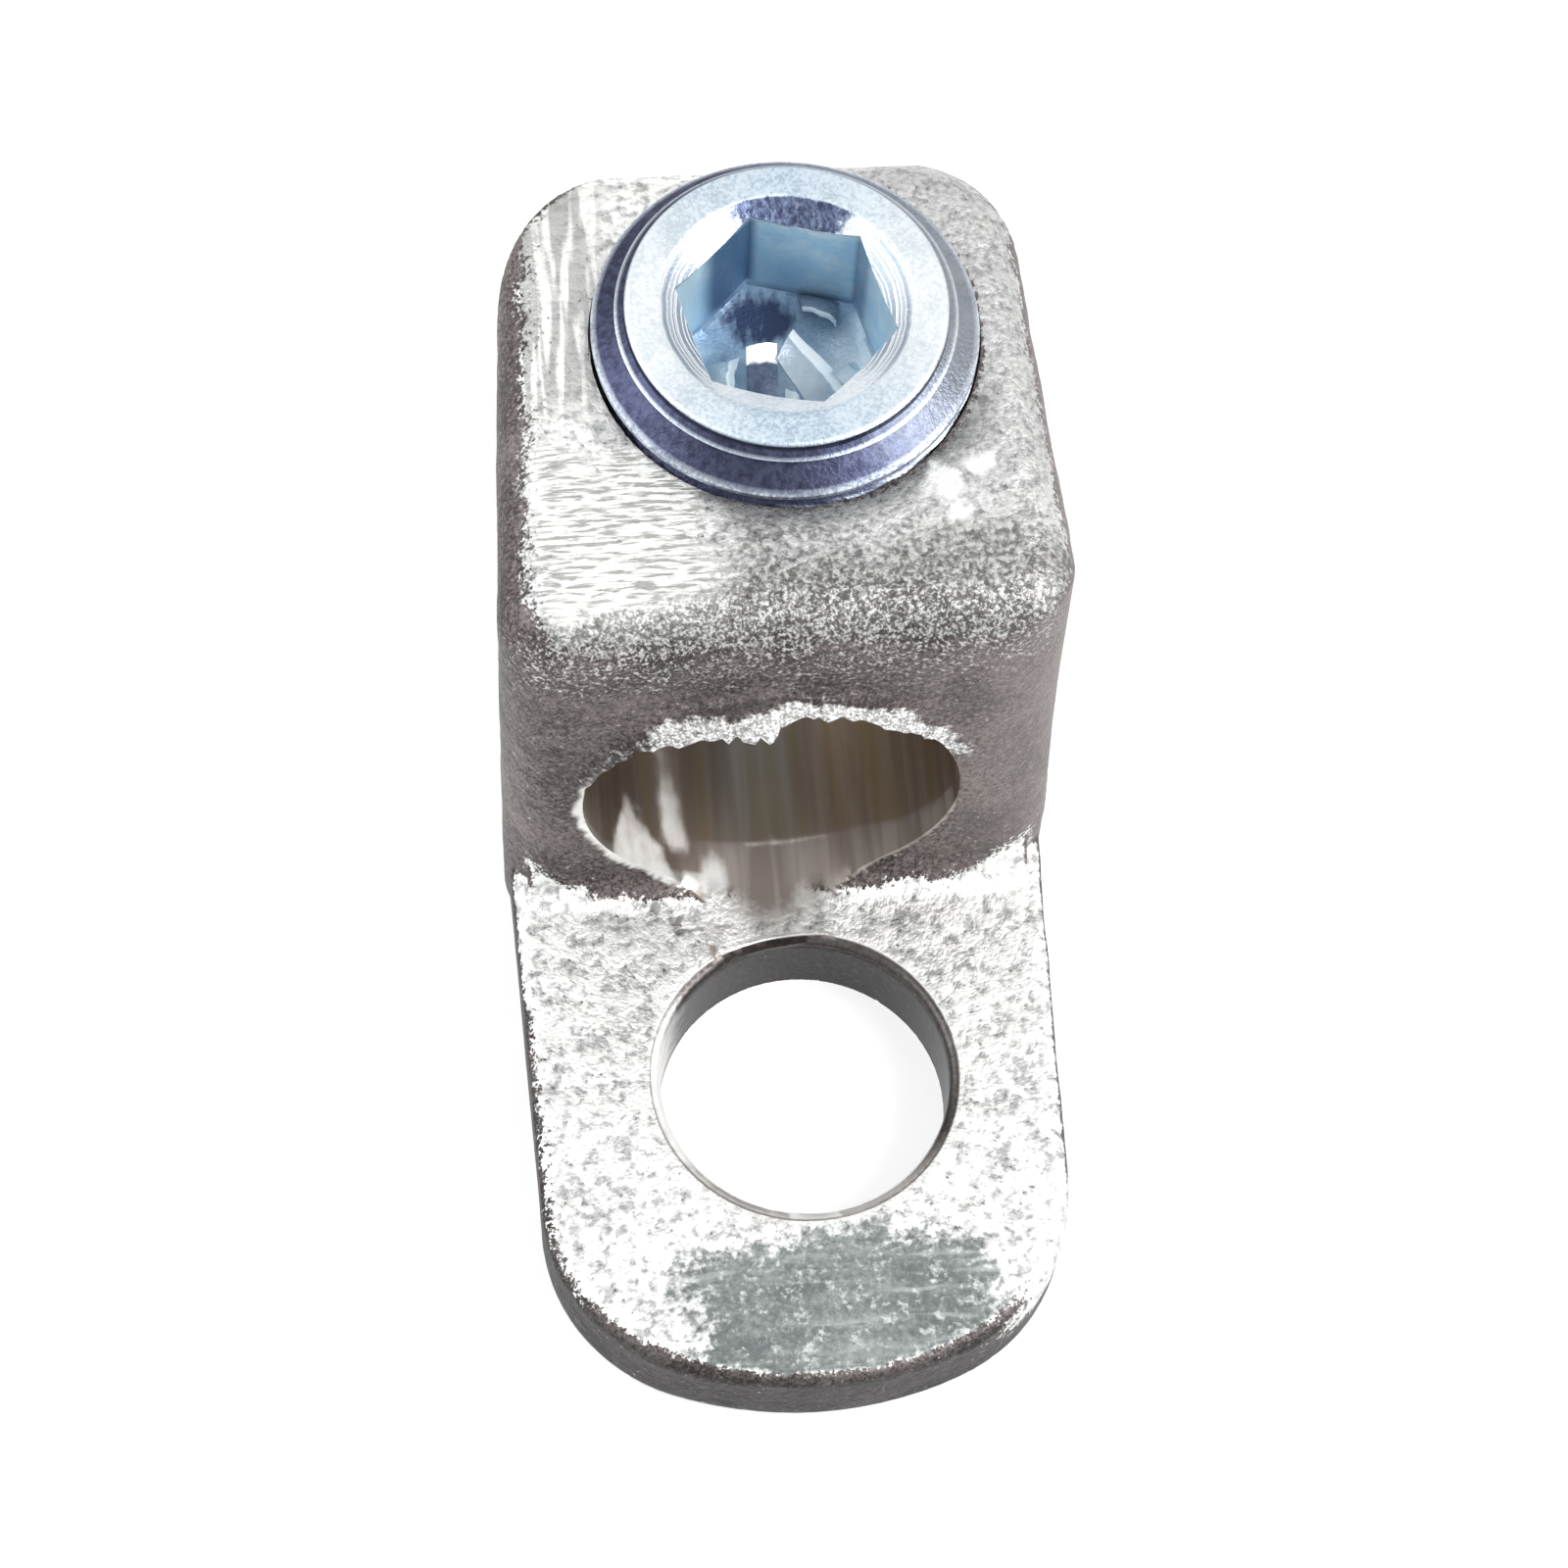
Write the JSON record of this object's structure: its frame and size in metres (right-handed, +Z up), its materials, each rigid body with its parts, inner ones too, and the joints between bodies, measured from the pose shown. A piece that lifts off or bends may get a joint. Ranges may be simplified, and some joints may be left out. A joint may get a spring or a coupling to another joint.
{
  "type": "cable terminal lug",
  "caption": "Cast mechanical cable lug: a block with a round cable bore and a hex socket set screw that clamps the conductor, on a flat tongue with a bolt hole.",
  "frame": {"origin": "middle of the bolt hole on the flat underside of the tongue", "axes": "+Z up, along the bolt hole; +Y along the lug from the tongue to the cable end; +X across"},
  "size_m": [0.0178, 0.0357, 0.0211],
  "materials": {
    "tinned_casting": "tin plated, rough cast grain",
    "zinc_plated_screw": "bright blue zinc plating"
  },
  "bodies": {
    "lug": {"lug_body": "tinned_casting"},
    "screw": {"clamp_screw": "zinc_plated_screw"}
  },
  "joints": [
    {"name": "screw_travel", "type": "slide", "parent": "lug", "child": "screw", "axis": [0, 0, 1], "range_m": [-0.0045, 0.002]}
  ]
}
